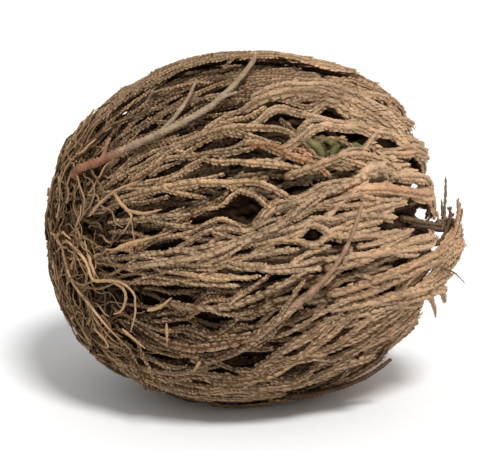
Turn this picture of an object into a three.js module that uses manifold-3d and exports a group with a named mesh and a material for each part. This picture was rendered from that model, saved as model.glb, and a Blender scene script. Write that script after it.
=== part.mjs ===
// Rose of Jericho: a resurrection spikemoss that has dried and closed into a ball, lying on its side.
// Millimetres, +Z up. The root end is at -X and turned a little towards the front, -Y. The mouth,
// where the tips of the fronds curl in, is at +X. The origin is the middle of the flat spot that the
// ball rests on.
import * as THREE from "three";
import Module from "manifold-3d";

const wasm = await Module();
wasm.setup();

// The ball
const ROOT_HALF_LENGTH = 39.5; // from the ball's middle to the root end
const MOUTH_HALF_LENGTH = 47; // to where the mouth end would close
const HALF_WIDTH = 39;
const HALF_HEIGHT = 38;
const ROOT_BLUNTNESS = 0.9; // under 1 makes the two ends blunter than an ellipse
const MOUTH_DIMPLE = 0.24; // share of the length that the closed mouth sinks in
const MOUTH_RING = 0.15; // radius of the mouth's ring of tips, as a share of the half width
const RESTING_DEPTH = 1.5; // how far the ball has flattened where it rests
const AXIS_TURN = 11; // degrees, root end towards the front
const AXIS_TILT = 4; // degrees, mouth up
const MEAN_RADIUS = 39; // depths below the skin are measured against this
const REST_HEIGHT = HALF_HEIGHT - RESTING_DEPTH; // the ball's middle above the surface

// The fronds grow in a spiral round the crown, each a golden angle on from the last.
const GOLDEN_ANGLE = 137.508;
const FROND_THICKNESS = 1.4;
const LAYER_STEP = 2.2; // from one layer of fronds to the next
const FROND_START = 9; // degrees from the root pole
const FROND_HALF_ANGLE = 12; // degrees round the plant's axis
const STEM_HALF_WIDTH = 1.5;
const BRANCHLET_HALF_WIDTH = 1.4;
const BRANCHLET_SPAN = 36; // degrees along the plant that the longest one covers
const SWIRL = 9; // degrees that every frond leans by, from the ball's middle to its end
const WHORLS = [
  { name: "outer_frond", count: 8, layer: 0, stations: 11, branchlets: 7, colour: 0x8a6e55 },
  { name: "outer_frond", count: 5, layer: 1, stations: 10, branchlets: 7, colour: 0x80654d },
  { name: "middle_frond", count: 8, layer: 2, stations: 10, ridges: 3, colour: 0x6d543e },
  { name: "inner_frond", count: 8, layer: 3, stations: 7, ridges: 2, colour: 0x594330 },
  { name: "inner_frond", count: 5, layer: 4, stations: 7, ridges: 2, colour: 0x594330 },
];
const HEART = { count: 6, depth: 12.5, step: 2.9, halfAngle: 21, stations: 5, ridges: 2, colour: 0x5b5233 };

// The crown and the roots
const CROWN_BASE_RADIUS = 4.2;
const CROWN_TIP_RADIUS = 1.6;
const CROWN_BASE = 38.9; // from the ball's middle
const CROWN_TIP = 15;
const CROWN_SIDES = 10;
const ROOT_MAT_REACH = 25; // degrees from the root pole
const ROOT_MAT_THICKNESS = 1.9;
const ROOT_MAT_GAP = 0.5;
const ROOT_RIDGES = 24;

const { degToRad, lerp, smoothstep } = THREE.MathUtils;

// A fixed number from 0 to 1 for each pair of whole numbers, so that the plant is always the same.
function chance(index, salt) {
  const wave = Math.sin(index * 12.9898 + salt * 78.233) * 43758.5453;
  return wave - Math.floor(wave);
}

// How far the skin is from the plant's axis, as a share of the ball's half width or height.
function girth(psi) {
  const sine = Math.max(Math.sin(degToRad(psi)), 0);
  return sine ** ROOT_BLUNTNESS + MOUTH_RING * smoothstep(psi, 150, 180);
}

// The angle round the plant's axis that a distance along the ball's skin takes up.
function angleOf(distance, psi, depth) {
  const radius = HALF_WIDTH * girth(psi) * (1 - depth / MEAN_RADIUS);
  return THREE.MathUtils.radToDeg(distance / radius);
}

// A point of the ball. psi is degrees along the plant from the root pole, 0, to the mouth, 180. phi is
// degrees round its axis from the floor, 0, through the front, 90, to the top, 180. depth is
// millimetres below the skin. A larger depth is always nearer the ball's middle, so pieces of
// different depths can't meet.
function ballPoint(psi, phi, depth) {
  const halfLength = psi < 90 ? ROOT_HALF_LENGTH : MOUTH_HALF_LENGTH;
  const sunk = 1 - MOUTH_DIMPLE * smoothstep(psi, 135, 185);
  const along = -halfLength * Math.cos(degToRad(psi)) * sunk;
  const across = girth(psi);
  const point = new THREE.Vector3(
    along,
    -HALF_WIDTH * across * Math.sin(degToRad(phi)),
    -HALF_HEIGHT * across * Math.cos(degToRad(phi)),
  );
  point.applyEuler(new THREE.Euler(0, degToRad(-AXIS_TILT), degToRad(AXIS_TURN), "ZYX"));
  const flattened = Math.min(1, REST_HEIGHT / Math.max(-point.z, 1e-6));
  point.multiplyScalar(flattened * (1 - depth / MEAN_RADIUS));
  point.z = Math.max(point.z + REST_HEIGHT, 0);
  return point;
}

// The triangles of a closed form, turned so that its faces point out.
function facingOut({ corners, triangles }) {
  const volume = triangles.reduce((sum, [a, b, c]) => {
    const cross = new THREE.Vector3().crossVectors(corners[b], corners[c]);
    return sum + corners[a].dot(cross);
  }, 0);
  return volume < 0 ? triangles.map(([a, b, c]) => [a, c, b]) : triangles;
}

function namedMesh(name, geometry, colour) {
  geometry.computeVertexNormals();
  const material = new THREE.MeshStandardMaterial({ color: colour, roughness: 0.9, metalness: 0 });
  const mesh = new THREE.Mesh(geometry, material);
  mesh.name = name;
  return mesh;
}

// A named mesh of a closed form's corners and triangles.
function closedMesh(name, form, colour) {
  const geometry = new THREE.BufferGeometry().setFromPoints(form.corners);
  geometry.setIndex(facingOut(form).flat());
  return namedMesh(name, geometry, colour);
}

// A named mesh of several closed forms, joined where they overlap.
function joinedMesh(name, forms, colour) {
  const solids = forms.map((form) => {
    const vertProperties = new Float32Array(form.corners.flatMap((corner) => corner.toArray()));
    const triVerts = new Uint32Array(facingOut(form).flat());
    return new wasm.Manifold(new wasm.Mesh({ numProp: 3, vertProperties, triVerts }));
  });
  const { vertProperties, triVerts } = solids.reduce((whole, solid) => whole.add(solid)).getMesh();
  const geometry = new THREE.BufferGeometry();
  geometry.setAttribute("position", new THREE.BufferAttribute(new Float32Array(vertProperties), 3));
  geometry.setIndex(new THREE.BufferAttribute(new Uint32Array(triVerts), 1));
  return namedMesh(name, geometry, colour);
}

// Rings of corners, each joined to the next, with a fan from each end ring to one end corner.
function skinOfRings(rings, first, last) {
  const sides = rings[0].length;
  const corners = [...rings.flat(), first, last];
  const triangles = [];
  for (let r = 0; r + 1 < rings.length; r++)
    for (let s = 0; s < sides; s++) {
      const [a, b] = [r * sides + s, r * sides + ((s + 1) % sides)];
      triangles.push([a, b, a + sides], [b, b + sides, a + sides]);
    }
  const lastRing = (rings.length - 1) * sides;
  for (let s = 0; s < sides; s++) {
    const next = (s + 1) % sides;
    triangles.push([corners.length - 2, next, s]);
    triangles.push([corners.length - 1, lastRing + s, lastRing + next]);
  }
  return { corners, triangles };
}

// The section of a blade: rows of branchlets as ridges with grooves between, thin at both edges.
// across is in half widths and up in half thicknesses.
function bladeSection(ridges) {
  const section = [{ across: -1, up: 0 }];
  for (let r = 0; r < ridges; r++) {
    const ridge = (2 * r + 1) / ridges - 1;
    if (r > 0) section.push({ across: ridge - 1 / ridges, up: 0.2 });
    section.push({ across: ridge, up: 0.9 });
  }
  section.push({ across: 1, up: 0 }, { across: 0, up: -1 });
  return section;
}

// A place on a frond. share runs along it from foot to tip, across is degrees from its stem and up is
// millimetres above its layer.
function frondPoint(frond, share, across, up) {
  const psi = frondPsi(frond, share);
  const lift = frond.lift * smoothstep(share, 0.72, 1) ** 1.5;
  const phi = frond.phi + (frond.lean * (psi - 90)) / 90 + across;
  return ballPoint(psi, phi, frond.depth - lift - up);
}

function frondPsi(frond, share) {
  return lerp(FROND_START, frond.end, share);
}

// A frond under the outer ones, a toothed blade that hugs the ball. Its teeth are the tips of its
// branchlets. They stand on alternate sides and sweep towards the frond's tip.
function bladeFrond(name, frond, colour) {
  const section = bladeSection(frond.ridges);
  const rings = [];
  for (let k = 0; k <= frond.stations; k++) {
    const share = k / frond.stations;
    const narrowing = lerp(0.75, 1, smoothstep(share, 0, 0.2)) * lerp(1, 0.3, smoothstep(share, 0.7, 1));
    const thickness = (FROND_THICKNESS / 2) * lerp(1, 0.6, smoothstep(share, 0.6, 1));
    const sway = 0.07 * Math.sin(k * 2.1 + frond.phi);
    rings.push(
      section.map(({ across, up }) => {
        const side = across < 0 ? 0 : 1;
        const edge = Math.abs(across) === 1;
        const tooth = k % 2 === side;
        const width = frond.halfAngle * narrowing * (edge ? (tooth ? 1.08 : 0.72) : 0.95);
        const swept = edge && tooth && k < frond.stations ? 0.6 / frond.stations : 0;
        const moved = edge ? across : across + sway * (1 - Math.abs(across));
        return frondPoint(frond, share + swept, moved * width, up * thickness);
      }),
    );
  }
  const foot = frondPoint(frond, -0.02, 0, 0);
  const tip = frondPoint(frond, 1 + 0.5 / frond.stations, 0, 0);
  return closedMesh(name, skinOfRings(rings, foot, tip), colour);
}

// The section of a strand of a branched frond, ridged on its outer side. across is in half widths and
// up in half thicknesses. The frond that the ball rests on is as thick inside, so that what is
// pressed flat underneath still has a body.
const STRAND_SECTION = [
  { across: -1, up: -0.35 },
  { across: 0, up: 1 },
  { across: 1, up: -0.35 },
];
const RESTING_SECTION = [
  { across: -1, up: 0 },
  { across: 0, up: 1 },
  { across: 1, up: 0 },
  { across: 0, up: -1 },
];

// A tapered strand through stations that each give a share along the frond, degrees from its stem
// and a size.
function strand(frond, stations, halfWidth) {
  const rings = stations.map(({ share, across, size }) => {
    const half = angleOf(halfWidth * size, frondPsi(frond, share), frond.depth);
    const thick = (FROND_THICKNESS / 2) * size;
    return frond.section.map((edge) => {
      return frondPoint(frond, share, across + edge.across * half, edge.up * thick);
    });
  });
  const [first, last] = [stations[0], stations[stations.length - 1]];
  const end = 0.25 / frond.stations;
  return skinOfRings(
    rings,
    frondPoint(frond, first.share - end / 2, first.across, 0),
    frondPoint(frond, last.share + end, last.across, 0),
  );
}

// An outer frond: a stem from the crown to the mouth, with branchlets that leave it on alternate
// sides, bend forwards and run almost beside it.
function branchedFrond(name, frond, colour) {
  const stem = Array.from({ length: frond.stations + 1 }, (_, k) => {
    const share = k / frond.stations;
    return { share, across: stemSway(frond, share), size: lerp(1, 0.55, smoothstep(share, 0.5, 1)) };
  });
  const strands = [strand(frond, stem, STEM_HALF_WIDTH)];
  for (let n = 0; n < frond.branchlets; n++) {
    const side = n % 2 ? 1 : -1;
    const start = lerp(0.07, 0.8, n / (frond.branchlets - 1));
    const length = (BRANCHLET_SPAN / (frond.end - FROND_START)) * lerp(1.1, 0.62, start);
    const reach = frond.halfAngle * lerp(1, 0.5, smoothstep(start, 0.45, 0.8));
    const stations = BRANCHLET_BEND.map(({ gone, out, size }) => {
      const share = start + length * gone;
      return { share, across: side * reach * out + stemSway(frond, start), size };
    });
    strands.push(strand(frond, stations, BRANCHLET_HALF_WIDTH));
  }
  return joinedMesh(name, strands, colour);
}

// How a branchlet leaves its stem: how much of its length is gone, how far out it is and its size. It
// starts inside the stem.
const BRANCHLET_BEND = [
  { gone: 0, out: 0.02, size: 0.6 },
  { gone: 0.3, out: 0.45, size: 1 },
  { gone: 0.65, out: 0.83, size: 0.9 },
  { gone: 1, out: 1, size: 0.6 },
];

// How far a frond's stem wanders from its middle line, in degrees.
function stemSway(frond, share) {
  return 1.2 * Math.sin(6 * share + frond.phi) * smoothstep(share, 0, 0.2);
}

// All the whorls, from the outside in, and then the young fronds curled up in the ball's heart.
function fronds() {
  const made = [];
  const counted = {};
  let index = 0;
  const nameOf = (kind) => {
    counted[kind] = (counted[kind] ?? 0) + 1;
    return `${kind}_${String(counted[kind]).padStart(2, "0")}`;
  };
  for (const whorl of WHORLS)
    for (let n = 0; n < whorl.count; n++, index++) {
      const frond = {
        phi: index * GOLDEN_ANGLE,
        depth: whorl.layer * LAYER_STEP,
        end: lerp(150, 176, chance(index, 1)) - 3 * whorl.layer,
        halfAngle: FROND_HALF_ANGLE,
        lean: SWIRL + lerp(-2.5, 2.5, chance(index, 2)),
        stations: whorl.stations,
        branchlets: whorl.branchlets,
        ridges: whorl.ridges,
        section: STRAND_SECTION,
        lift: 0,
      };
      Object.assign(frond, SPECIAL_FRONDS[index] ?? {});
      const makeFrond = whorl.ridges ? bladeFrond : branchedFrond;
      made.push(makeFrond(nameOf(whorl.name), frond, whorl.colour));
    }
  for (let n = 0; n < HEART.count; n++, index++) {
    const frond = {
      phi: index * GOLDEN_ANGLE,
      depth: HEART.depth + n * HEART.step,
      end: lerp(140, 160, chance(index, 1)),
      halfAngle: HEART.halfAngle,
      lean: SWIRL,
      stations: HEART.stations,
      ridges: HEART.ridges,
      lift: 0,
    };
    made.push(bladeFrond(nameOf("heart_frond"), frond, HEART.colour));
  }
  return made;
}

// Fronds that differ from the rest of their whorl, by their place in the spiral.
const SPECIAL_FRONDS = {
  0: { halfAngle: 13, end: 168, section: RESTING_SECTION }, // the ball rests on this one
  3: { lift: 8, end: 172, lean: 30 }, // its tip stands clear of the mouth, at the front
};

// A cord of tapered sides along a route of ball points, for a branch that lies loose on the ball.
function looseBranch(name, branch) {
  const points = branch.route.map(([psi, phi, depth]) => ballPoint(psi, phi, depth));
  const route = new THREE.CatmullRomCurve3(points);
  const sides = 5;
  const rings = [];
  for (let k = 0; k <= branch.stations; k++) {
    const share = k / branch.stations;
    const middle = route.getPointAt(share);
    const way = route.getTangentAt(share);
    const out = middle.clone().sub(new THREE.Vector3(0, 0, REST_HEIGHT)).normalize();
    const side = new THREE.Vector3().crossVectors(way, out).normalize();
    const up = new THREE.Vector3().crossVectors(side, way);
    const radius = branch.radius * lerp(1, 0.45, share) * (k % 2 ? 1.12 : 0.92);
    rings.push(
      Array.from({ length: sides }, (_, s) => {
        const turn = (2 * Math.PI * s) / sides;
        return middle
          .clone()
          .addScaledVector(side, radius * Math.cos(turn))
          .addScaledVector(up, radius * 0.7 * Math.sin(turn));
      }),
    );
  }
  const foot = route.getPointAt(0);
  const tip = route.getPointAt(1).addScaledVector(route.getTangentAt(1), branch.radius);
  return closedMesh(name, skinOfRings(rings, foot, tip), branch.colour);
}

// Loose branches, as lists of psi, phi and depth. Negative depths stand off the skin.
const LOOSE_BRANCHES = {
  crossing_branch: {
    route: [
      [34, 150, -2.2],
      [42, 145, -1.9],
      [52, 143, -1.9],
      [65, 143, -1.9],
      [77, 146, -1.9],
      [84, 151, -1.7],
      [90, 158, -0.5],
      [95, 168, 0.1],
    ],
    radius: 1.1,
    stations: 9,
    colour: 0x8f7a68,
  },
  crossing_twig: {
    route: [
      [80, 67, 0.3],
      [87, 74, 0.2],
      [94, 81, -0.2],
      [100, 86, -1.3],
      [106, 93, -1.9],
      [110, 100, -1.9],
      [113, 107, -1.9],
    ],
    radius: 0.9,
    stations: 7,
    colour: 0x8a5a42,
  },
  loose_twig: {
    route: [
      [92, 25, 0.4],
      [100, 27, -0.2],
      [108, 29, -1.2],
      [116, 34, -2.1],
      [123, 41, -2.4],
    ],
    radius: 0.9,
    stations: 6,
    colour: 0x6e5440,
  },
};

// The short woody stem in the root end, which every frond grows from.
function rootCrown() {
  const profile = [
    new THREE.Vector2(0, -CROWN_BASE),
    new THREE.Vector2(CROWN_BASE_RADIUS * 0.8, -CROWN_BASE),
    new THREE.Vector2(CROWN_BASE_RADIUS, -CROWN_BASE + 1.2),
    new THREE.Vector2(lerp(CROWN_BASE_RADIUS, CROWN_TIP_RADIUS, 0.5), -lerp(CROWN_BASE, CROWN_TIP, 0.5)),
    new THREE.Vector2(CROWN_TIP_RADIUS, -CROWN_TIP - 1),
    new THREE.Vector2(0, -CROWN_TIP),
  ];
  const geometry = new THREE.LatheGeometry(profile, CROWN_SIDES);
  const material = new THREE.MeshStandardMaterial({ color: 0x5f4330, roughness: 0.95, metalness: 0 });
  const crown = new THREE.Mesh(geometry, material);
  crown.name = "root_crown";
  // The lathe turns about +Y: it is laid along the plant's axis, base towards the root pole.
  const upright = new THREE.Group();
  upright.rotation.z = -Math.PI / 2;
  upright.add(crown);
  const axis = new THREE.Group();
  axis.setRotationFromEuler(new THREE.Euler(0, degToRad(-AXIS_TILT), degToRad(AXIS_TURN), "ZYX"));
  axis.position.z = REST_HEIGHT;
  axis.add(upright);
  return axis;
}

// The mat of fine roots that covers the root end, a ragged dome with a ridge for each bundle of roots.
function rootMat() {
  const reach = (s) => ROOT_MAT_REACH * (s % 2 ? 0.8 : lerp(0.95, 1.3, chance(s, 5)));
  const gap = FROND_THICKNESS / 2 + ROOT_MAT_GAP;
  const outer = [0.25, 0.55, 0.85];
  const ring = (share, depthOf) =>
    Array.from({ length: ROOT_RIDGES }, (_, s) => {
      const phi = (360 * s) / ROOT_RIDGES + lerp(-3, 3, chance(s, 6));
      return ballPoint(reach(s) * share, phi, depthOf(s));
    });
  const outside = outer.map((share, r) =>
    ring(share, (s) => {
      const ridge = s % 2 ? 0.55 : lerp(0.8, 1.35, chance(s * 7 + r, 7));
      return -gap - ROOT_MAT_THICKNESS * ridge * lerp(1, 0.45, share ** 3);
    }),
  );
  const rim = ring(1, () => -gap - 0.15);
  const inside = [0.7, 0.35].map((share) => ring(share, () => -gap));
  const form = skinOfRings(
    [...outside, rim, ...inside],
    ballPoint(0, 0, -gap - ROOT_MAT_THICKNESS),
    ballPoint(0, 0, -gap),
  );
  return closedMesh("root_mat", form, 0x6b4f38);
}

const roseOfJericho = new THREE.Group();
roseOfJericho.add(...fronds());
for (const [name, branch] of Object.entries(LOOSE_BRANCHES)) roseOfJericho.add(looseBranch(name, branch));
roseOfJericho.add(rootCrown(), rootMat());

export default roseOfJericho;
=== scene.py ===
# Rose of Jericho, closed and dry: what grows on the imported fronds, roots and twigs, and their finishes.
# Metres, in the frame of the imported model. The plant's own measures below are in millimetres and degrees.
import math
import bpy
import numpy as np
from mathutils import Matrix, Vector


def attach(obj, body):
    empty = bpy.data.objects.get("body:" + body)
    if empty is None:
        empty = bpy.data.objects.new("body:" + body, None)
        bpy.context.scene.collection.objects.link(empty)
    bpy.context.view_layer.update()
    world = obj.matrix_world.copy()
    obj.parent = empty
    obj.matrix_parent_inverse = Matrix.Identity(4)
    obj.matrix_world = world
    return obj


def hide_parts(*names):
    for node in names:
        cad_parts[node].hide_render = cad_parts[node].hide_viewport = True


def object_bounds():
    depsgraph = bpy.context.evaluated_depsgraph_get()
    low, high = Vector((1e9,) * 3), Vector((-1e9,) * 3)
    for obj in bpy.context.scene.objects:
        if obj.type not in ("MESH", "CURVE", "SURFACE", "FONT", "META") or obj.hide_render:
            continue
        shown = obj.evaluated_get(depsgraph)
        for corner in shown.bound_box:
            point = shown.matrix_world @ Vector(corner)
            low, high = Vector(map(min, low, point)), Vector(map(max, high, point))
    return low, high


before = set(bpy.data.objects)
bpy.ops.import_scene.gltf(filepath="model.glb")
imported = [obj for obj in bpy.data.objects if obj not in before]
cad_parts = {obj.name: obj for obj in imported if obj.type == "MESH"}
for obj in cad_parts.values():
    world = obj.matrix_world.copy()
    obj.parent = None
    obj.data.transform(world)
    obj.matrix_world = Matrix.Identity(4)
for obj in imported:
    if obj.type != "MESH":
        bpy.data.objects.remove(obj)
cad_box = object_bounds()

MM = 0.001

# The ball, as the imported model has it. A pair of psi says from where to where a form comes in.
ROOT_HALF_LENGTH = 39.5
MOUTH_HALF_LENGTH = 47.0
HALF_WIDTH = 39.0
HALF_HEIGHT = 38.0
ROOT_BLUNTNESS = 0.9
MOUTH_DIMPLE = 0.24
MOUTH_DIMPLE_PSI = (135, 185)
MOUTH_RING = 0.15
MOUTH_RING_PSI = (150, 180)
RESTING_DEPTH = 1.5
AXIS_TURN = 11.0
AXIS_TILT = 4.0
MEAN_RADIUS = 39.0
REST_HEIGHT = HALF_HEIGHT - RESTING_DEPTH

# The spiral of fronds
GOLDEN_ANGLE = 137.508
FROND_SEED = 100
FROND_START = 9.0
FROND_ENDS = (150, 176)
WHORL_STEP = 3  # how much sooner each whorl ends than the one outside it
INNER_TIP_REACH = 9.0  # how much further the inner fronds' tips curl in to the mouth
INNER_LAST_END = 174
HEART_ENDS = (140, 160)
SWIRL = 9.0  # how far round a frond leans over each 90 degrees of psi
SWIRL_LUCK = (-2.5, 2.5)
LAST_PSI = 179.0  # no strand goes on past the middle of the mouth
RESTING_FROND = {"index": 0, "end": 168.0}
LIFTED_FROND = {"index": 3, "lift": 8.0, "lean": 30.0, "end": 172.0}  # its tip stands clear of the mouth
LIFTED_SHARE = (0.72, 1)  # of its length, where it comes to stand clear

# How a frond grows. A pair is the least and the most, or the values at the foot and at the tip. The tone of a
# branch or twig is how much lighter it is than what it grows from, and how much that differs.
FROND_TONES = (0.35, 0.65)
STEM_POINTS = 100
STEM_RISE = 0.15
STEM_SIZES = (1.12, 0.8)
SWAY = 1.2
SWAY_TURN = 6  # radians along the frond
WAVE_LENGTHS = (26, 44)
RIPPLE_RATE = 2.15  # of a wave's ripples, to the wave
FEWEST_POINTS = 4  # that a strand may have
BRANCH_STARTS = (0.02, 0.87)  # shares of the frond's length
BRANCH_SHIFT = 0.3
BRANCH_BUNCHING = 1.15  # above 1, the branches stand closer at the foot
BRANCH_SPANS = (54, 22)
BRANCH_SPAN_LUCK = (0.85, 1.15)
FAR_REACHES = (0.82, 1.0)  # shares of the whorl's reach, two branches far and two near by turns
NEAR_REACHES = (0.38, 0.55)
LAST_REACH = 0.7  # what is left of the reach at the last branches
LAST_STARTS = (0.55, 0.87)
BRANCH_PULL = 2.4  # how soon a branch turns along the frond again
BRANCH_WAVE = 0.6
BRANCH_FOOT = 0.35  # the share of a branch over which its own wave and rise come in
BRANCH_RISES = (-0.8, 0.6)
TIP_RISES = (0.0, 0.7)
SPRUNG_CHANCE = 0.12
SPRUNG_RISE = 2.2
BRANCH_TONE = (0, 0.22)
BRANCH_SIZES = (1.0, 0.8)
BRANCH_SIZE_LUCK = (0.8, 1.1)
TWIG_PLACES = (0.22, 0.8)  # shares of the branch's length
TWIG_SHIFT = 0.08
TWIG_SPANS = (9, 17)
TWIG_REACHES = (2.4, 4.6)
TWIG_PULL = 1.8
TWIG_WAVE = 0.2
TWIG_RISES = (-0.5, 0.45)
TWIG_TIP_RISES = (0.0, 0.6)
TWIG_TONE = (0, 0.1)
TWIG_SIZES = (0.88, 0.72)
STRAY_BRANCHES = 7  # on each outer frond
STRAY_SPANS = (14, 32)
STRAY_STARTS = (30, 118)
LIFTED_STRAY_STARTS = (30, 90)
STRAY_SLANTS = (4, 12)
STRAY_SHIFT = 12
STRAY_DEPTHS = (1.5, -0.2)  # at its foot and along its middle
STRAY_TONE = (0.05, 0.2)
STRAY_SIZES = (0.55, 0.85)

# Branches and roots with given routes
ROUTE_STEP = 0.7
SUNK_END = 1.5
ROUTE_TONE = (0.1, 0.12)
POINTED_LOSS = 0.8  # the share of its size that a pointed branch loses
ROUTE_TIP_SIZE = 0.75
FORK_PLACES = (0.2, 0.75)
FORK_LENGTHS = (6, 11)
FORK_REACHES = (3, 5.5)
FORK_SINKS = (-0.2, 0.8)
FORK_SIZES = (0.75, 0.6)

# Scale leaves
LEAF_LENGTH = 1.4
LEAF_WIDTH = 0.82
LEAF_THICKNESS = 0.42
LEAF_SPREAD = 21.0  # degrees from the strand
LEAF_TILTS = (-0.34, 0.02)  # radians out of the strand's surface
LEAF_SIZES = (0.85, 1.15)
LEAF_WANDER = 0.3  # how far leaves are out of step, as a share of the pitch
LEAF_SEED_STEP = 10
STEM_RADIUS = 0.64
STEM_SIDES = 4
STEM_SHADE = 0.35
SCALY_RADIUS = 1.08
SCALY_SIDES = 5
SCALINESS = 0.2  # how far the scales of a strand stand out, as a share of its radius
SCALE_SEED = 5

# Where branches are slender, near the root end and round the phi of the upper side, and where they are broad
BREADTHS = (0.82, 1.35)
BREADTH_PSI = (35, 135)
UPPER_SIDE = 165.0
UPPER_SIDE_EDGE = (15, 40)
UPPER_SIDE_END = (95, 125)
UPPER_THINNING = 0.3

# Where strands are pale and green, and where painted shade darkens them: deep below the skin, and sooner
# under a gap
PALE_PSI = (80, 150)
PAINTED_SHADE_DEPTHS = (1.0, 6.2)
GAP_PAINTED_SHADE_DEPTHS = (1.5, 3.5)
GREEN_DEPTHS = (1.2, 3.0)
MOST_GREEN = 0.8

# Each whorl of fronds, from the outside in. Depths are millimetres below the skin. Pitch is the step from
# leaf to leaf, or from scale to scale on the fronds deep inside, which are only seen between the others.
WHORL_VALUES = ("kind", "count", "depth", "branches", "twigs", "reach", "pitch")
WHORLS = [dict(zip(WHORL_VALUES, whorl)) for whorl in [
    ("outer_frond", 8, 0.3, 19, 3, 14.0, 0.82),
    ("outer_frond", 5, 1.8, 19, 3, 15.0, 0.82),
    ("middle_frond", 8, 3.5, 17, 2, 17.0, 1.1),
    ("inner_frond", 8, 5.6, 22, 2, 19.0, 1.0),
    ("inner_frond", 5, 8.0, 22, 2, 20.0, 1.0),
    ("heart_frond", 6, 12.5, 26, 2, 24.0, 1.1),
]]
HEART_STEP = 2.9  # how much deeper each heart frond lies than the one before it

# Places on the ball: psi and phi of the middle, half length and half width in degrees. First the gaps between
# the strands, which part them from GAP_REACH half lengths off.
GAP_REACH = 1.6
PARTED_REACH = 3  # half widths
MIDDLE_PARTING = 0.8  # how far the middle fronds' strands are parted, as a share of the outer ones
GAPS = [
    # The deep hole at the front's middle, and those above the green window
    (84, 113, 5.5, 4.8), (98, 138.5, 6, 5.6), (113, 141.5, 5, 5.0), (128, 135, 7, 2.6),
    # Lower front
    (71, 76.5, 7, 5.6), (80, 59.5, 8, 4.0), (83, 83, 6, 2.6), (95, 51, 6, 3.6), (70, 47, 7, 3.0),
    (58, 53.5, 5, 2.6), (93, 76.5, 5, 2.4), (105, 66, 3.5, 2.8), (62, 81, 5, 2.0), (50, 80, 4, 2.6),
    # Right
    (102, 102, 3.5, 2.4), (99, 116.5, 4, 2.0), (124, 76.5, 4.5, 2.6), (109, 81, 3.5, 2.0),
    (132, 151, 5.5, 2.4), (143, 147, 4, 3.0),
    # Top
    (80, 166, 10, 2.0), (92, 163, 12, 1.6), (108, 167, 13, 1.8), (120, 161, 8, 1.6), (72, 154, 9, 1.6),
    (84, 149, 9, 1.6), (60, 160, 8, 1.4), (68, 144, 7, 1.3), (60, 130, 7, 1.3), (74, 126, 5, 1.3),
]
GREEN_WINDOW = (111, 131, 11, 6.2)
GREEN_SPOT = (112, 131, 16.5, 9.92)  # how far round the window strands are green
# An opening in the front of the mouth: no strand of the outer and middle fronds goes on past its edge.
MOUTH_OPENING = (133.5, 103, 9, 7)


def smoothstep(x, low, high):
    t = np.clip((np.asarray(x, float) - low) / (high - low), 0, 1)
    return t * t * (3 - 2 * t)


def lerp(a, b, t):
    return a + (b - a) * t


def chance(index, salt):
    wave = math.sin(index * 12.9898 + salt * 78.233) * 43758.5453
    return wave - math.floor(wave)


def girth(psi):
    sine = np.maximum(np.sin(np.radians(psi)), 0)
    return sine**ROOT_BLUNTNESS + MOUTH_RING * smoothstep(psi, *MOUTH_RING_PSI)


def axis_turning():
    tilt, turn = math.radians(-AXIS_TILT), math.radians(AXIS_TURN)
    about_y = np.array([[math.cos(tilt), 0, math.sin(tilt)], [0, 1, 0], [-math.sin(tilt), 0, math.cos(tilt)]])
    about_z = np.array([[math.cos(turn), -math.sin(turn), 0], [math.sin(turn), math.cos(turn), 0], [0, 0, 1]])
    return about_z @ about_y


AXIS = axis_turning()


def ball_points(psi, phi, depth):
    """Places in millimetres. psi runs from the root pole, 0, to the mouth, 180. phi goes round the
    plant's axis from the floor, 0, through the front, 90, to the top, 180."""
    psi, phi, depth = np.broadcast_arrays(np.asarray(psi, float), phi, depth)
    half_length = np.where(psi < 90, ROOT_HALF_LENGTH, MOUTH_HALF_LENGTH)
    along = -half_length * np.cos(np.radians(psi)) * (1 - MOUTH_DIMPLE * smoothstep(psi, *MOUTH_DIMPLE_PSI))
    across = girth(psi)
    sideways = -HALF_WIDTH * across * np.sin(np.radians(phi))
    upwards = -HALF_HEIGHT * across * np.cos(np.radians(phi))
    points = np.stack([along, sideways, upwards], -1) @ AXIS.T
    flattened = np.minimum(1, REST_HEIGHT / np.maximum(-points[..., 2], 1e-6))
    points *= (flattened * (1 - depth / MEAN_RADIUS))[..., None]
    points[..., 2] = np.maximum(points[..., 2] + REST_HEIGHT, 0)
    return points


def outward(psi, phi):
    """The direction straight out of the ball's skin."""
    along = ball_points(psi + 0.5, phi, 0) - ball_points(psi - 0.5, phi, 0)
    around = ball_points(psi, phi + 0.5, 0) - ball_points(psi, phi - 0.5, 0)
    normal = np.cross(along, around)
    middle = np.array([0, 0, REST_HEIGHT])
    facing = np.sign(np.sum(normal * (ball_points(psi, phi, 0) - middle), -1, keepdims=True))
    length = np.linalg.norm(normal, axis=-1, keepdims=True)
    return normal * facing / np.maximum(length, 1e-9)


def round_from(middle, phi):
    """How far round from a middle phi is, from -180 to 180."""
    return (phi - middle + 180) % 360 - 180


def eased(gone, pull):
    """From 0 to 1, fast at first."""
    return (1 - np.exp(-pull * gone)) / (1 - math.exp(-pull))


def blunt_end(gone):
    return lerp(1, 0.6, smoothstep(gone, 0.93, 1))


# Strands: lines over the ball, with what each point of them needs for its clothing and colour.
def strand(psi, phi, depth, size, tone, green=0.0, deep=0.0, rusty=0.0):
    psi = np.asarray(psi, float)
    values = {"phi": phi, "depth": depth, "size": size, "tone": tone, "green": green, "deep": deep,
              "rusty": rusty, "pale": smoothstep(psi, *PALE_PSI)}
    full = {key: np.broadcast_to(np.asarray(value, float), psi.shape) for key, value in values.items()}
    return {"psi": psi, **full}


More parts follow.
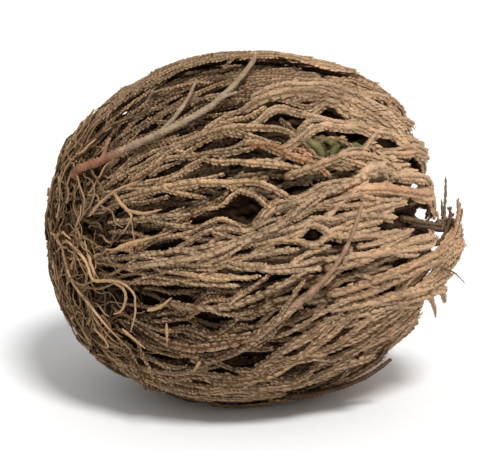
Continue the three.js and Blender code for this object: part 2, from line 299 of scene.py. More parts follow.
def smooth_route(corners):
    """A smooth line through corners that each give psi, phi and depth."""
    corners = np.array(corners, float)
    ends = np.concatenate([[2 * corners[0] - corners[1]], corners, [2 * corners[-1] - corners[-2]]])
    route = []
    for a, b, c, d in zip(ends, ends[1:], ends[2:], ends[3:]):
        length = np.linalg.norm(ball_points(*c) - ball_points(*b))
        t = np.linspace(0, 1, max(2, int(length / ROUTE_STEP)), endpoint=False)[:, None]
        line = 2 * b + (c - a) * t
        line += (2 * a - 5 * b + 4 * c - d) * t**2
        line += (3 * b - a - 3 * c + d) * t**3
        route.append(0.5 * line)
    return np.concatenate(route + [corners[-1:]]).T


def parted_by_gaps(phi, psi, gaps, share=1.0):
    """Strands pass round each gap, on the side of it that they lie on anyway."""
    phi = phi.copy()
    for gap_psi, gap_phi, half_length, half_width in gaps:
        ahead = np.clip((psi - gap_psi) / (GAP_REACH * half_length), -1, 1)
        inside = 0.5 + 0.5 * np.cos(math.pi * ahead)
        off = round_from(gap_phi, phi)
        nearest = np.argmin(np.abs(ahead))
        if inside[nearest] == 0 or abs(off[nearest]) > PARTED_REACH * half_width:
            continue
        side = 1.0 if off[nearest] >= 0 else -1.0
        near = np.exp(-np.clip(side * off, 0, None) ** 2 / (GAP_REACH * half_width) ** 2)
        crossing = np.clip(-side * off, 0, None)
        phi += side * inside * share * (half_width * near + crossing)
    return phi


def distance_squared(psi, phi, place, reach=1.0):
    """How far points are from a place's middle, squared: 1 where the reach times its half measures ends."""
    middle_psi, middle_phi, half_length, half_width = place
    along = (psi - middle_psi) / (reach * half_length)
    across = round_from(middle_phi, phi) / (reach * half_width)
    return along**2 + across**2


def under_gap(psi, phi):
    """How much a place deep in is seen through a gap, from 0 to 1, for painted shade."""
    seen = np.zeros(len(psi))
    for gap in GAPS:
        seen = np.maximum(seen, 1 - smoothstep(distance_squared(psi, phi, gap, GAP_REACH), 0.5, 1.5))
    return seen


def before_opening(psi, phi):
    """The part of a strand before it would come to the mouth's opening."""
    inside = distance_squared(psi, phi, MOUTH_OPENING) < 1
    return slice(0, int(np.argmax(inside)) if inside.any() else len(psi))


def breadth(psi, phi):
    off = np.abs(round_from(UPPER_SIDE, phi))
    upper = (1 - smoothstep(off, *UPPER_SIDE_EDGE)) * (1 - smoothstep(psi, *UPPER_SIDE_END))
    return lerp(*BREADTHS, smoothstep(psi, *BREADTH_PSI)) * (1 - UPPER_THINNING * upper)


def greenness(psi, phi, depth):
    return MOST_GREEN * np.exp(-distance_squared(psi, phi, GREEN_SPOT)) * smoothstep(depth, *GREEN_DEPTHS)


def shifted_tone(rng, tone, shift, spread):
    return np.clip(tone + rng.normal(shift, spread), 0, 1)


class Frond:
    """One frond of the spiral: a stem with branches on alternate sides, and twigs on the branches."""

    def __init__(self, whorl, name, index, depth, end):
        self.whorl, self.name, self.depth, self.end = whorl, name, depth, end
        self.phi = index * GOLDEN_ANGLE
        self.lean = SWIRL + lerp(*SWIRL_LUCK, chance(index, 2))
        self.lift = 0.0
        self.rng = np.random.default_rng(FROND_SEED + index)
        self.outer = whorl["kind"] == "outer_frond"
        self.leafy = whorl["kind"] in ("outer_frond", "middle_frond")
        self.tone = self.rng.uniform(*FROND_TONES)
        if index == LIFTED_FROND["index"]:
            self.lift, self.lean, self.end = (LIFTED_FROND[key] for key in ("lift", "lean", "end"))
        if index == RESTING_FROND["index"]:
            self.end = RESTING_FROND["end"]

    def share(self, psi):
        """How far along the frond a psi is, from 0 at its foot to 1 at its tip."""
        return (psi - FROND_START) / (self.end - FROND_START)

    def sway(self, psi):
        share = self.share(psi)
        return SWAY * np.sin(SWAY_TURN * share + self.phi) * smoothstep(share, 0, 0.2)

    def wave(self, psi, amount):
        first, second = self.rng.uniform(0, 2 * math.pi, 2)
        turned = 2 * math.pi * psi / self.rng.uniform(*WAVE_LENGTHS)
        return amount * (np.sin(turned + first) + 0.5 * np.sin(RIPPLE_RATE * turned + second))

    def make(self, psi, across, rise, size, tone):
        """A strand of the frond: psi along it, degrees to the side and millimetres outwards. It stops at the
        mouth's opening, and there is none if too little of it is left."""
        psi = np.minimum(psi, LAST_PSI)
        lift = self.lift * smoothstep(self.share(psi), *LIFTED_SHARE) ** 1.5
        phi = self.phi + self.lean * (psi - 90) / 90 + across
        depth = self.depth - lift - rise
        if self.outer:
            phi = parted_by_gaps(phi, psi, GAPS + [GREEN_WINDOW])
        elif self.leafy:
            phi = parted_by_gaps(phi, psi, GAPS, MIDDLE_PARTING)
        shown = before_opening(psi, phi) if self.leafy else slice(None)
        if len(psi[shown]) < FEWEST_POINTS:
            return []
        size = (size * breadth(psi, phi))[shown]
        psi, phi, depth = psi[shown], phi[shown], depth[shown]
        # Painted shade: strands darken the deeper they lie, and sooner where a gap shows them
        painted_gap_shade = under_gap(psi, phi) * smoothstep(depth, *GAP_PAINTED_SHADE_DEPTHS)
        deep = np.maximum(smoothstep(depth, *PAINTED_SHADE_DEPTHS), painted_gap_shade)
        return [strand(psi, phi, depth, size, tone, greenness(psi, phi, depth), deep)]

    def grow(self):
        rng = self.rng
        psi = np.linspace(FROND_START, self.end, STEM_POINTS)
        rise = STEM_RISE + self.wave(psi, STEM_RISE)
        size = lerp(*STEM_SIZES, np.linspace(0, 1, STEM_POINTS))
        strands = self.make(psi, self.sway(psi), rise, size, self.tone)
        count = self.whorl["branches"]
        for b in range(count):
            place = max((b + rng.uniform(-BRANCH_SHIFT, BRANCH_SHIFT)) / (count - 1), 0)
            start = lerp(*BRANCH_STARTS, place**BRANCH_BUNCHING)
            span = lerp(*BRANCH_SPANS, start) * rng.uniform(*BRANCH_SPAN_LUCK)
            far = (b // 2) % 2 == 0
            reach = self.whorl["reach"] * rng.uniform(*(FAR_REACHES if far else NEAR_REACHES))
            reach *= lerp(1, LAST_REACH, float(smoothstep(start, *LAST_STARTS)))
            strands += self.branch(lerp(FROND_START, self.end, start), span, 1 if b % 2 else -1, reach)
        for _ in range(STRAY_BRANCHES if self.outer else 0):
            strands += self.stray_branch()
        return strands + self.along_routes(PLAIN_TO_SEE.get(self.name, []))

    def branch(self, start, span, side, reach):
        rng = self.rng
        gone = np.linspace(0, 1, int(span))
        psi = start + span * gone
        free = smoothstep(gone, 0, BRANCH_FOOT)
        wave = self.wave(psi, BRANCH_WAVE) * free
        across = self.sway(psi) * (1 - gone) + side * reach * eased(gone, BRANCH_PULL) + wave
        rise = rng.uniform(*BRANCH_RISES) * free
        tip_rise = rng.uniform(*TIP_RISES)
        if rng.uniform() < SPRUNG_CHANCE:
            tip_rise *= SPRUNG_RISE
        rise += tip_rise * smoothstep(gone, 0.75, 1)
        tone = shifted_tone(rng, self.tone, *BRANCH_TONE)
        size = lerp(*BRANCH_SIZES, gone) * blunt_end(gone) * rng.uniform(*BRANCH_SIZE_LUCK)
        strands = self.make(psi, across, rise, size, tone)
        twigs = self.whorl["twigs"]
        for t in range(twigs):
            place = lerp(*TWIG_PLACES, (t + 0.5) / twigs) + rng.uniform(-TWIG_SHIFT, TWIG_SHIFT)
            at = int(len(psi) * place)
            strands += self.twig(psi[at], across[at], rise[at], side if t % 2 else -side, tone)
        return strands

    def twig(self, start, across, rise, side, tone):
        """A twig that starts from a place on a branch."""
        rng = self.rng
        span = rng.uniform(*TWIG_SPANS)
        gone = np.linspace(0, 1, int(span))
        psi = start + span * gone
        across = across + side * rng.uniform(*TWIG_REACHES) * eased(gone, TWIG_PULL)
        across += self.wave(psi, TWIG_WAVE) * gone
        rise = rise + rng.uniform(*TWIG_RISES) * smoothstep(gone, 0, 0.5)
        rise += rng.uniform(*TWIG_TIP_RISES) * smoothstep(gone, 0.7, 1)
        tone = shifted_tone(rng, tone, *TWIG_TONE)
        return self.make(psi, across, rise, lerp(*TWIG_SIZES, gone) * blunt_end(gone), tone)

    def stray_branch(self):
        """A slender branch that has sprung loose and lies slantwise over the others."""
        rng = self.rng
        span = rng.uniform(*STRAY_SPANS)
        gone = np.linspace(0, 1, int(span))
        psi = rng.uniform(*(LIFTED_STRAY_STARTS if self.lift else STRAY_STARTS)) + span * gone
        slant = rng.choice([-1, 1]) * rng.uniform(*STRAY_SLANTS)
        across = rng.uniform(-STRAY_SHIFT, STRAY_SHIFT) + slant * (gone - 0.5) + self.wave(psi, BRANCH_WAVE)
        out = smoothstep(gone, 0, 0.2) * (1 - 0.7 * smoothstep(gone, 0.8, 1))
        rise = self.depth - lerp(*STRAY_DEPTHS, out)
        tone = shifted_tone(rng, self.tone, *STRAY_TONE)
        return self.make(psi, across, rise, rng.uniform(*STRAY_SIZES) * blunt_end(gone), tone)

    def along_routes(self, branches):
        """Branches with given routes, each with forks on alternate sides."""
        rng = self.rng
        strands = []
        for branch in branches:
            psi, phi, depth = smooth_route(branch["route"])
            gone = np.linspace(0, 1, len(psi))
            tone = shifted_tone(rng, self.tone, *ROUTE_TONE)
            narrowing = lerp(1.0, ROUTE_TIP_SIZE, smoothstep(gone, 0.6, 1))
            if branch["pointed"]:
                narrowing = 1 - POINTED_LOSS * gone**2
            size = branch["size"] * narrowing * blunt_end(gone)
            strands.append(strand(psi, phi, depth, size, tone, **branch["colour"]))
            for n in range(branch["twigs"]):
                at = int(len(psi) * lerp(*FORK_PLACES, rng.uniform()))
                length = int(min(rng.uniform(*FORK_LENGTHS) / ROUTE_STEP, len(psi) - at - 1))
                part = slice(at, at + length)
                fork = np.linspace(0, 1, length)
                reach = (1 if n % 2 else -1) * rng.uniform(*FORK_REACHES) * (1 - np.exp(-TWIG_PULL * fork))
                sink = rng.uniform(*FORK_SINKS) * smoothstep(fork, 0.1, 1)
                size = branch["size"] * lerp(*FORK_SIZES, fork) * blunt_end(fork)
                line = psi[part], phi[part] + reach, depth[part] + sink
                strands.append(strand(*line, size, tone, **branch["colour"]))
        return strands


def led(size, route, twigs=0, pointed=False, **colour):
    """A branch led along a route, whose corners are psi, phi and depth."""
    return {"size": size, "route": route, "twigs": twigs, "pointed": pointed, "colour": colour}


def laid_on(size, depth, corners, **more):
    """A branch that comes up from between the others, lies on them and goes down again at its end."""
    last = len(corners) - 1
    route = [(psi, phi, depth + (SUNK_END if n in (0, last) else 0)) for n, (psi, phi) in enumerate(corners)]
    return led(size, route, **more)


# The branches that can be told apart on the front, by the frond that they are taken to belong to.
PLAIN_TO_SEE = {
    "outer_frond_02": [
        laid_on(1.5, -0.7, [(88, 146), (95, 149), (106, 152), (114, 150), (122, 148), (130, 142), (138, 135)],
                twigs=2),
        laid_on(1.4, -0.3, [(108, 150), (112, 148), (117, 144), (121, 142), (125, 139)]),
        laid_on(1.1, -0.6, [(66, 138), (74, 138), (82, 139), (91, 138), (98, 136), (103, 131)], twigs=1),
        laid_on(1.15, -0.6, [(84, 133.5), (93, 131.5), (98.5, 127), (104, 124), (108, 121)], rusty=0.5),
        laid_on(0.9, -0.3, [(99, 131), (102, 128.5), (104, 125.5)], rusty=0.7),
        laid_on(1.25, -0.7, [(96, 121), (103, 123), (111, 126), (118, 127), (126, 124), (134, 120)], twigs=2),
        laid_on(1.75, -1.2, [(116.5, 120), (121, 122), (127, 120)]),
        # A thin strand dark with painted shadow, under the curled tip
        laid_on(0.5, -0.9, [(115.5, 118.5), (121, 117.8), (127, 118)], deep=1.0),
        laid_on(1.3, -0.4, [(122, 133), (122.5, 130.5), (124, 127)]),
        laid_on(1.5, -0.6, [(124, 127.5), (127, 125.5), (129.5, 122)]),
        laid_on(1.1, -0.6, [(40, 126), (57, 124), (69, 123), (80, 121), (88, 120), (94, 116), (100, 110)],
                twigs=3),
    ],
    "outer_frond_07": [
        laid_on(1.25, -0.9, [(124, 121), (117, 119), (110, 116), (100, 112), (92, 106), (82, 103), (72, 100),
                             (58, 98), (43, 96)], twigs=4),
        laid_on(1.0, -0.6, [(38, 117), (48, 115), (58, 114), (68, 113)], twigs=1),
        laid_on(1.2, -0.4, [(104, 93), (112, 93), (122, 92), (132, 90), (141, 88), (150, 88)], twigs=2),
        # The scaly branch that curls down over the right side of the mouth's opening, and one above it
        led(1.5, [(112, 115, 0.8), (120, 115, -0.8), (128, 114, -0.8), (136, 113, -0.4), (144, 112.5, 0.2)],
            rusty=0.35),
        led(1.6, [(136, 113, 0.6), (144, 113.5, 0.4), (151, 110.5, 0.3), (155, 105.5, 0.1), (157, 99.5, 0.6)],
            rusty=0.15),
        led(1.3, [(126, 119, 0.2), (135, 120.5, -0.4), (143, 120.5, -0.2), (150, 117, -0.1),
                  (154, 111.5, -0.2)]),
        # Greyish ones below the opening
        laid_on(1.35, -0.6, [(104, 90), (112.5, 91), (118.5, 92.5), (125, 93), (131.5, 93.5), (139, 92.5),
                             (148, 92)], twigs=2),
        laid_on(1.0, -0.3, [(114, 95), (122, 96), (128, 97), (135, 97)]),
        # Ones across the opening and up its far side, dark with painted shade
        led(1.0, [(136, 102.5, 3.6), (142, 99.5, 2.4), (148, 97, 1.6), (154, 94, -0.6), (158, 91, -2.3)],
            deep=0.78),
        led(0.9, [(140, 98, 3.0), (147, 94.5, 1.0), (153, 91.5, -0.9), (158, 89, -2.4)], deep=0.92),
        led(0.9, [(150, 82.5, -0.3), (155, 85.5, -2.1), (160, 91, -3.6), (165, 98, -5.4), (167, 103, -5.7)],
            deep=0.85),
    ],
    "outer_frond_10": [
        laid_on(1.4, -0.6, [(92, 152), (99, 154), (106, 155), (114, 156), (122, 153), (131, 148), (142, 142)],
                twigs=2),
    ],
    "outer_frond_12": [
        laid_on(1.25, -0.8, [(112, 96), (106, 90), (99, 84), (92, 78), (86, 73), (77, 69), (66, 66), (56, 67),
                             (44, 70)], twigs=3),
        laid_on(1.1, -0.6, [(58, 82), (66, 82), (74, 82), (82, 84), (92, 88), (100, 91)], twigs=2),
        # Clothes the lower half of the crossing twig
        led(1.1, [(64, 56.5, 1.4), (68, 58.5, 0.4), (72, 61, -0.2), (80, 67, -1.0), (87, 74, -1.5),
                  (94, 80.5, -1.7), (98, 84, -1.2)], twigs=2),
    ],
    "outer_frond_04": [
        laid_on(1.1, -0.6, [(66, 49), (74, 50), (81, 51), (90, 54), (98, 62), (108, 70), (119, 77)], twigs=3),
        # A branch darkened a little by painted shade
        led(0.8, [(38, 58, 0.5), (44, 50, -0.6), (49, 42, -1.3), (53, 35, -2.6)], deep=0.4),
        # The lip at the lower front of the mouth: its two broad branches, their edges and their tips
        led(1.3, [(104, 81, 0.6), (117, 82.5, -0.2), (127, 83, -0.2), (137, 83.5, -0.6), (146, 83, -1.6),
                  (155, 85.5, -3.9), (162, 91.5, -5.8), (168, 100, -8.0), (171, 108, -8.9)],
            twigs=3, rusty=0.15),
        led(1.3, [(106, 78, 0.6), (117, 79, -0.3), (127, 79.5, -0.1), (137, 80, -0.5), (146, 79.5, -1.5),
                  (154, 81.5, -3.8), (161, 84.5, -6.0), (166, 91, -7.2)], twigs=3, rusty=0.1),
        led(1.4, [(104, 76, 0.6), (121, 74, -0.3), (131, 71.5, -0.6), (141, 67, -1.1), (149, 64, -2.8),
                  (154, 58, -3.6)], twigs=4),
        led(1.3, [(106, 71, 0.6), (121, 70, -0.1), (131, 67, -0.4), (140, 62, -1.0), (147, 57, -2.4)],
            twigs=4),
        led(1.0, [(132, 66, -0.3), (138, 62, -0.9), (141, 52, -1.6), (142, 40, -2.5)], pointed=True),
        led(1.3, [(138, 65, -0.9), (144, 59, -2.0), (146, 50, -2.8), (147, 45, -3.2)], pointed=True),
        led(1.1, [(140, 64, -0.9), (146, 59, -2.0), (149, 52, -2.8), (150, 47, -3.0)], pointed=True),
        # Two thin ones at the mouth, darkened by painted shade
        led(0.5, [(154, 90, -1.6), (158, 96.5, -2.6), (162, 105.5, -3.7), (165, 114, -4.8), (168, 129, -6.3)],
            deep=0.55),
        led(0.45, [(157, 99, -2.2), (160, 105, -2.8), (163, 110, -3.4)], deep=0.7),
        # Spikes on the lower left outline
        led(0.65, [(46, 62, 0.4), (50, 57, -1.6), (53.5, 55, -3.2), (56, 48.5, -4.5)], pointed=True),
        led(0.6, [(42, 56, 0.4), (46, 54, -1.2), (50, 50, -2.4)], pointed=True),
        # A hair under the lip, darkened by painted shade
        led(0.28, [(144, 74, -2.2), (148, 69, -3.4), (152, 62, -4.6), (151, 58, -6.4)], deep=0.6),
    ],
    "middle_frond_02": [
        led(1.1, [(106, 137, 3.4), (110.5, 134.5, 1.6), (114, 134, 0.8), (117, 132, 1.4)], green=0.25),
    ],
    # The curled tips in the green window, and two branches behind them that painted shade darkens
    "inner_frond_02": [
        led(1.0, [(102, 136, 3.6), (104.5, 133.5, 1.6), (106.5, 130.5, 0.6), (108, 126.5, 1.4)], green=1.0),
        led(0.95, [(108, 138, 4.0), (110.5, 135, 2.0), (112, 131.5, 1.0), (110.5, 127, 1.6)], green=0.9),
        led(0.9, [(118, 135, 3.6), (119.5, 132, 1.2), (120, 129, 0.6), (120, 125.5, 1.6)], green=1.0),
        led(1.2, [(98, 136, 4.6), (106, 134, 3.2), (114, 135, 3.4), (122, 133, 4.6)], green=0.6, deep=0.7),
        led(1.1, [(100, 131, 4.6), (107, 129, 3.4), (115, 129, 3.4), (122, 128, 4.6)], green=0.6, deep=0.8),
    ],
    # Branches that close the mouth behind its opening, but for a hole in their midst, dark with painted shade
    "inner_frond_07": [
        led(1.5, [(112, 116, 6), (128, 116, 5.5), (144, 117, 5), (158, 120, 5)], deep=1.0),
        led(1.5, [(112, 112, 6), (128, 112, 5.5), (142, 113, 5), (156, 115, 4.5)], deep=1.0),
        led(1.4, [(112, 108, 6), (122, 108, 5.5), (130, 108, 5), (135, 109, 5)], deep=1.0),
        led(1.4, [(112, 104, 6), (122, 104, 5.5), (130, 103, 5), (136, 103, 5)], deep=1.0),
        led(1.3, [(150, 106, 5), (151, 98, 4.4), (150, 90, 4.4)], deep=0.9),
    ],
    "inner_frond_12": [
        # More branches behind the opening, dark with painted shade
        led(1.5, [(112, 100, 6), (128, 100, 5.5), (144, 99, 5), (158, 97, 4)], deep=1.0),
        led(1.5, [(112, 96, 6), (128, 96, 5.5), (144, 95, 4.6), (160, 93, 3)], deep=1.0),
        led(1.5, [(112, 92, 6), (128, 92, 5.5), (144, 91, 4.4), (160, 88, 2.5)], deep=1.0),
        led(1.5, [(112, 88, 6), (128, 88, 5), (144, 87, 4), (160, 84, 1.5)], deep=1.0),
        led(1.3, [(140, 92, 4.6), (150, 90, 2.6), (158, 87, 0.2)], deep=1.0),
    ],
}


def frond_end(kind, layer, index):
    if kind == "heart_frond":
        return lerp(*HEART_ENDS, chance(index, 1))
    end = lerp(*FROND_ENDS, chance(index, 1)) - WHORL_STEP * layer
    return min(end + INNER_TIP_REACH, INNER_LAST_END) if kind == "inner_frond" else end


def all_fronds():
    fronds = []
    counted = {}
    for layer, whorl in enumerate(WHORLS):
        kind = whorl["kind"]
        for n in range(whorl["count"]):
            index = len(fronds)
            counted[kind] = counted.get(kind, 0) + 1
            depth = whorl["depth"] + (HEART_STEP * n if kind == "heart_frond" else 0)
            name = f"{kind}_{counted[kind]:02d}"
            fronds.append(Frond(whorl, name, index, depth, frond_end(kind, layer, index)))
    return fronds


# Lines as objects
POINT_VALUES = ("size", "tone", "green", "deep", "rusty", "pale")


def add_object(name, data):
    made = bpy.data.objects.new(name, data)
    bpy.context.scene.collection.objects.link(made)
    return made


def lines_object(name, strands):
    """A mesh of edges only, one line for each strand, with its values and its outward direction."""
    places, outs, edges = [], [], []
    first = 0
    for s in strands:
        count = len(s["psi"])
        places.append(ball_points(s["psi"], s["phi"], s["depth"]) * MM)
        outs.append(outward(s["psi"], s["phi"]))
        steps = np.arange(first, first + count - 1)
        edges.append(np.stack([steps, steps + 1], -1))
        first += count
    mesh = bpy.data.meshes.new(name)
    mesh.from_pydata(np.concatenate(places).tolist(), np.concatenate(edges).tolist(), [])
    for key in POINT_VALUES:
        values = np.concatenate([s[key] for s in strands])
        mesh.attributes.new(key, "FLOAT", "POINT").data.foreach_set("value", values)
    out = mesh.attributes.new("out", "FLOAT_VECTOR", "POINT")
    out.data.foreach_set("vector", np.concatenate(outs).ravel())
    return add_object(name, mesh)


# Node trees
def add(tree, kind, inputs=None, **settings):
    """A node with its settings, and its inputs linked or set."""
    node = tree.nodes.new(kind)
    for name, value in settings.items():
        setattr(node, name, value)
    for name, value in (inputs or {}).items():
        socket = next((s for s in node.inputs if s.identifier == name), None) or node.inputs[name]
        for one in value if isinstance(value, list) else [value]:
            if isinstance(one, bpy.types.NodeSocket):
                tree.links.new(one, socket)
            else:
                socket.default_value = one
    return node


def made(tree, kind, inputs=None, **settings):
    """The first output of a node that is added."""
    return add(tree, kind, inputs, **settings).outputs[0]


def math_node(tree, operation, a, b=0.0, clamp=False):
    inputs = {"Value": a, "Value_001": b}
    return made(tree, "ShaderNodeMath", inputs, operation=operation, use_clamp=clamp)


def times(tree, a, b):
    return math_node(tree, "MULTIPLY", a, b)


def plus(tree, a, b, clamp=False):
    return math_node(tree, "ADD", a, b, clamp)


def minus(tree, a, b, clamp=False):
    return math_node(tree, "SUBTRACT", a, b, clamp)


def add_sockets(tree, in_out, kinds):
    for name, kind in kinds.items():
        tree.interface.new_socket(name=name, in_out=in_out, socket_type="NodeSocket" + kind)


def geometry_tree(name, sizes):
    tree = bpy.data.node_groups.new(name, "GeometryNodeTree")
    add_sockets(tree, "INPUT", {"Geometry": "Geometry", **sizes})
    add_sockets(tree, "OUTPUT", {"Geometry": "Geometry"})
    return tree, tree.nodes.new("NodeGroupInput").outputs


def stored(tree, geometry, name, value, data_type="FLOAT", domain="POINT"):
    inputs = {"Geometry": geometry, "Name": name, "Value": value}
    return made(tree, "GeometryNodeStoreNamedAttribute", inputs, data_type=data_type, domain=domain)


def named(tree, name, data_type="FLOAT"):
    return made(tree, "GeometryNodeInputNamedAttribute", {"Name": name}, data_type=data_type)


def vector_math(tree, operation, a, b):
    inputs = {"Vector": a, "Scale" if operation == "SCALE" else "Vector_001": b}
    return made(tree, "ShaderNodeVectorMath", inputs, operation=operation)


def random_value(tree, low, high, seed):
    return add(tree, "FunctionNodeRandomValue", {"Min_001": low, "Max_001": high, "Seed": seed}).outputs[1]


def evenly_stepped(tree, given, step):
    """The lines as curves with a point at each step, numbered one by one."""
    curve = made(tree, "GeometryNodeMeshToCurve", {"Mesh": given})
    stepped = made(tree, "GeometryNodeResampleCurve", {"Curve": curve, "Length": step}, mode="LENGTH")
    inputs = {"Curve": stepped, "Normal": named(tree, "out", "FLOAT_VECTOR")}
    faced = made(tree, "GeometryNodeSetCurveNormal", inputs, mode="FREE")
    return stored(tree, faced, "station", made(tree, "GeometryNodeInputIndex"))


def scaly_tube(tree, curve, radius, sides, scaliness):
    """A tube whose corners stand out and in by turns, as scales that overlap like tiles do."""
    place = made(tree, "GeometryNodeInputPosition")
    curve = stored(tree, curve, "centre", place, "FLOAT_VECTOR")
    circle = {"Resolution": sides, "Radius": radius}
    profile = made(tree, "GeometryNodeCurvePrimitiveCircle", circle)
    corner = made(tree, "GeometryNodeInputIndex")
    profile = stored(tree, profile, "corner", corner)
    profile = stored(tree, profile, "around", math_node(tree, "DIVIDE", corner, sides))
    inputs = {"Curve": curve, "Profile Curve": profile, "Scale": named(tree, "size"), "Fill Caps": True}
    tube = made(tree, "GeometryNodeCurveToMesh", inputs)
    turn = plus(tree, named(tree, "station"), named(tree, "corner"))
    raised = math_node(tree, "FLOORED_MODULO", math_node(tree, "ROUND", turn), 2.0)
    swing = times(tree, minus(tree, raised, 0.5), scaliness)
    spoke = vector_math(tree, "SUBTRACT", place, named(tree, "centre", "FLOAT_VECTOR"))
    offset = vector_math(tree, "SCALE", spoke, times(tree, swing, 2.0))
    return made(tree, "GeometryNodeSetPosition", {"Geometry": tube, "Offset": offset})


# Rows of leaves on a strand: the number of each, its turn to the side as a share of the leaf spread (from,
# to), its roll down round the stem in degrees, how far its leaves are ahead of the left row's, as a share of
# the pitch, and how far they lie above the stem's middle, as a share of its radius.
LEAF_ROWS = [
    (1, (0.75, 1.25), -38, 0.0, 0.1),
    (2, (-1.25, -0.75), 38, 0.5, 0.1),
    (3, (-0.45, 0.45), 0, 0.25, 0.6),
]


def leafy_strands_tree():
    """Three rows of scale leaves along every line, over a thin scaly stem."""
    sizes = {"Leaf": "Object", "Leaf pitch": "Float", "Leaf spread": "Float", "Stem radius": "Float",
             "Scaliness": "Float", "Seed": "Int", "Finish": "Material"}
    tree, given = geometry_tree("leafy_strands", sizes)
    curve = evenly_stepped(tree, given["Geometry"], given["Leaf pitch"])
    tube = scaly_tube(tree, curve, given["Stem radius"], STEM_SIDES, given["Scaliness"])
    parts = [stored(tree, tube, "leaf_chance", STEM_SHADE)]
    leaf = add(tree, "GeometryNodeObjectInfo", {"Object": given["Leaf"]}).outputs["Geometry"]
    tangent = made(tree, "GeometryNodeInputTangent")
    axes = {"Primary Axis": tangent, "Secondary Axis": named(tree, "out", "FLOAT_VECTOR")}
    aligned = made(tree, "FunctionNodeAxesToRotation", axes, primary_axis="X", secondary_axis="Z")
    for row, turns, roll, ahead, above in LEAF_ROWS:
        seed = plus(tree, given["Seed"], float(row))
        spread = times(tree, given["Leaf spread"], random_value(tree, *turns, seed))
        turned = rotated(tree, aligned, (1, 0, 0), math.radians(roll))
        turned = rotated(tree, turned, (0, 0, 1), spread)
        turned = rotated(tree, turned, (0, 1, 0), random_value(tree, *LEAF_TILTS, seed))
        scale = times(tree, random_value(tree, *LEAF_SIZES, seed), named(tree, "size"))
        inputs = {"Points": curve, "Instance": leaf, "Rotation": turned, "Scale": scale}
        leaves = made(tree, "GeometryNodeInstanceOnPoints", inputs)
        ahead = plus(tree, random_value(tree, -LEAF_WANDER, LEAF_WANDER, seed), ahead)
        shifts = {"X": times(tree, given["Leaf pitch"], ahead), "Z": times(tree, given["Stem radius"], above)}
        inputs = {"Instances": leaves, "Translation": made(tree, "ShaderNodeCombineXYZ", shifts)}
        leaves = made(tree, "GeometryNodeTranslateInstances", inputs)
        leaves = stored(tree, leaves, "leaf_chance", random_value(tree, 0.0, 1.0, seed), domain="INSTANCE")
        parts.append(stored(tree, leaves, "row", float(row), domain="INSTANCE"))
    finish_tree(tree, parts, given["Finish"])
    return tree


def rotated(tree, rotation, axis, angle):
    by = made(tree, "FunctionNodeAxisAngleToRotation", {"Axis": axis, "Angle": angle})
    inputs = {"Rotation": rotation, "Rotate By": by}
    return made(tree, "FunctionNodeRotateRotation", inputs, rotation_space="LOCAL")


def scaly_strands_tree():
    """A scaly tube along every line."""
    sizes = {"Step": "Float", "Radius": "Float", "Sides": "Int", "Scaliness": "Float", "Finish": "Material"}
    tree, given = geometry_tree("scaly_strands", sizes)
    curve = evenly_stepped(tree, given["Geometry"], given["Step"])
    tube = scaly_tube(tree, curve, given["Radius"], given["Sides"], given["Scaliness"])
    tube = stored(tree, tube, "leaf_chance", random_value(tree, 0.0, 1.0, SCALE_SEED))
    finish_tree(tree, [tube], given["Finish"])
    return tree


def finish_tree(tree, parts, material):
    joined = made(tree, "GeometryNodeJoinGeometry", {"Geometry": parts})
    real = made(tree, "GeometryNodeRealizeInstances", {"Geometry": joined})
    smooth = made(tree, "GeometryNodeSetShadeSmooth", {"Geometry": real})
    finished = made(tree, "GeometryNodeSetMaterial", {"Geometry": smooth, "Material": material})
    add(tree, "NodeGroupOutput", {"Geometry": finished})


def grown_mesh(lines, tree, values):
    """Runs a tree on the lines, and puts the plain mesh that it gives in their place."""
    modifier = lines.modifiers.new(tree.name, "NODES")
    modifier.node_group = tree
    for item in tree.interface.items_tree:
        if item.in_out == "INPUT" and item.name in values:
            modifier[item.identifier] = values[item.name]
    depsgraph = bpy.context.evaluated_depsgraph_get()
    evaluated = lines.evaluated_get(depsgraph)
    mesh = bpy.data.meshes.new_from_object(evaluated, preserve_all_data_layers=True, depsgraph=depsgraph)
    old = lines.data
    lines.modifiers.clear()
    lines.data = mesh
    mesh.name = lines.name
    bpy.data.meshes.remove(old)
    rest_on_floor(mesh)
    map_texture(mesh)
    return lines


def point_values(mesh, name):
    found = mesh.attributes.get(name)
    values = np.zeros(len(mesh.vertices), np.float32)
    if found:
        found.data.foreach_get("value", values)
    return values


CELL_MARGIN = 0.05  # of a cell's side
WIDEST_FACE = 0.6  # of the way round a strand; a face that seems wider is the one that closes the ring


def map_texture(mesh):
    """A texture map in which every step of a strand, and every leaf, has a cell of its own in a square."""
    corners = np.empty(len(mesh.loops), np.int32)
    mesh.loops.foreach_get("vertex_index", corners)
    starts = np.empty(len(mesh.polygons), np.int32)
    mesh.polygons.foreach_get("loop_start", starts)
    counts = np.diff(np.append(starts, len(corners)))
    names = ("station", "row", "around", "along_leaf")
    station, row, around, along = (point_values(mesh, name)[corners] for name in names)
    base = np.repeat(np.minimum.reduceat(station, starts), counts)
    width = np.maximum.reduceat(around, starts) - np.minimum.reduceat(around, starts)
    wraps = np.repeat(width > WIDEST_FACE, counts)
    u = np.where(wraps & (row == 0) & (around == 0), 1.0, around)
    v = np.where(row > 0, along, station - base)
    cell = np.round(base) * (len(LEAF_ROWS) + 1) + row
    across = math.ceil(math.sqrt(cell.max() + 1))
    inside = CELL_MARGIN + (1 - 2 * CELL_MARGIN) * np.stack([u, v], -1)
    spots = (np.stack([cell % across, cell // across], -1) + inside) / across
    mesh.uv_layers.new(name="OFBake").data.foreach_set("uv", spots.astype(np.float32).ravel())
    for name in ("station", "row", "around", "corner", "centre", "out", "size"):
        if name in mesh.attributes:
            mesh.attributes.remove(mesh.attributes[name])


def rest_on_floor(mesh):
    """What the ball presses on the surface lies flat on it."""
    co = np.empty(len(mesh.vertices) * 3, np.float32)
    mesh.vertices.foreach_get("co", co)
    co = co.reshape(-1, 3)
    co[:, 2] = np.maximum(co[:, 2], 0)
    mesh.vertices.foreach_set("co", co.ravel())
    mesh.update()


